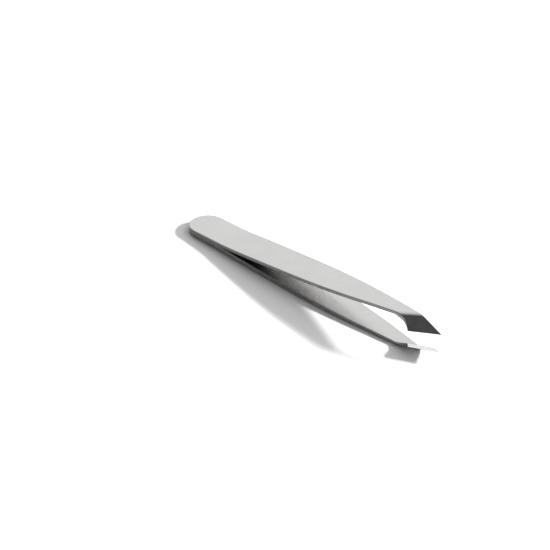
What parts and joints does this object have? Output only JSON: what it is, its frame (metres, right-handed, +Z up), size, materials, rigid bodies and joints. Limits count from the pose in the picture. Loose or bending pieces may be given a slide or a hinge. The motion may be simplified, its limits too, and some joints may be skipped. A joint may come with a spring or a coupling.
{
  "type": "slant tweezers",
  "caption": "Slant tweezers: two welded spring arms of satin steel strip with inward-bent claws that meet along a slanted edge.",
  "frame": {"origin": "centre of the bounding box's bottom face, on the surface that the pair lies on", "axes": "+X from the heel to the tips, +Y across the arms towards the side of the longer tip corner, +Z up"},
  "size_m": [0.095, 0.0106, 0.0112],
  "materials": {
    "arm_steel": "fine satin, bead-blasted",
    "weld_steel": "fused, matt"
  },
  "bodies": {
    "heel": {"upper_arm_heel": "arm_steel", "lower_arm_heel": "arm_steel", "spot_weld_rear": "weld_steel", "spot_weld_front": "weld_steel"},
    "upper_arm": {"upper_arm_blade": "arm_steel"},
    "lower_arm": {"lower_arm_blade": "arm_steel"}
  },
  "joints": [
    {"name": "upper_arm_flex", "type": "hinge", "parent": "heel", "child": "upper_arm", "pos_m": [-0.02564, 0, 0.00301], "axis": [0, 1, 0], "range_deg": [0, 2.1], "stiffness_Nm_per_rad": 1.2},
    {"name": "lower_arm_flex", "type": "hinge", "parent": "heel", "child": "lower_arm", "pos_m": [-0.02555, 0, 0.00134], "axis": [0, -1, 0], "range_deg": [0, 2.1], "stiffness_Nm_per_rad": 1.2}
  ]
}
